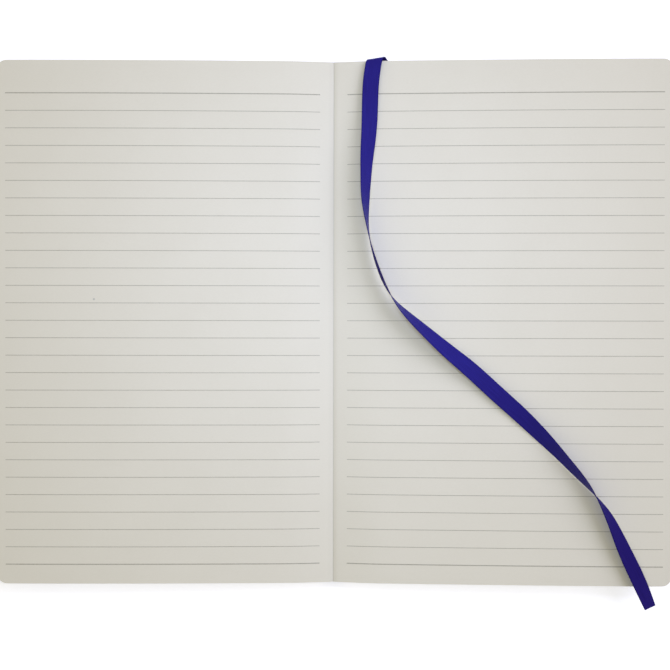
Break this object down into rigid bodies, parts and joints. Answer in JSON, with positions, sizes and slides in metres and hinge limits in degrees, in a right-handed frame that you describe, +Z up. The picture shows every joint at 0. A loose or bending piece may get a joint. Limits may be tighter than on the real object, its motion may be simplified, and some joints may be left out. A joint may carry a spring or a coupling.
{
  "type": "softcover notebook",
  "caption": "Ruled softcover notebook lying open at its middle, with a narrow ribbon marker that curls across the right page.",
  "frame": {"origin": "under the fold, at the middle of the spread's height, on the surface that the covers lie on", "axes": "+X from the fold towards the right page's fore-edge, +Y towards the head of the pages, +Z up"},
  "size_m": [0.27, 0.2199, 0.0167],
  "materials": {
    "cover": "matte grained leatherette",
    "endpaper": "matte",
    "pages": "matte",
    "ruling": "matte print",
    "ribbon": "satin weave"
  },
  "bodies": {
    "back_half": {"back_cover": "cover", "back_endpaper": "endpaper", "right_pages": "pages", "right_ruling": "ruling", "ribbon_marker": "ribbon"},
    "front_half": {"front_cover": "cover", "front_endpaper": "endpaper", "left_pages": "pages", "left_ruling": "ruling"}
  },
  "joints": [
    {"name": "cover_fold", "type": "hinge", "parent": "back_half", "child": "front_half", "pos_m": [0, 0, 0.0065], "axis": [0, 1, 0], "range_deg": [0, 174], "deforming": ["ribbon_marker"]}
  ]
}
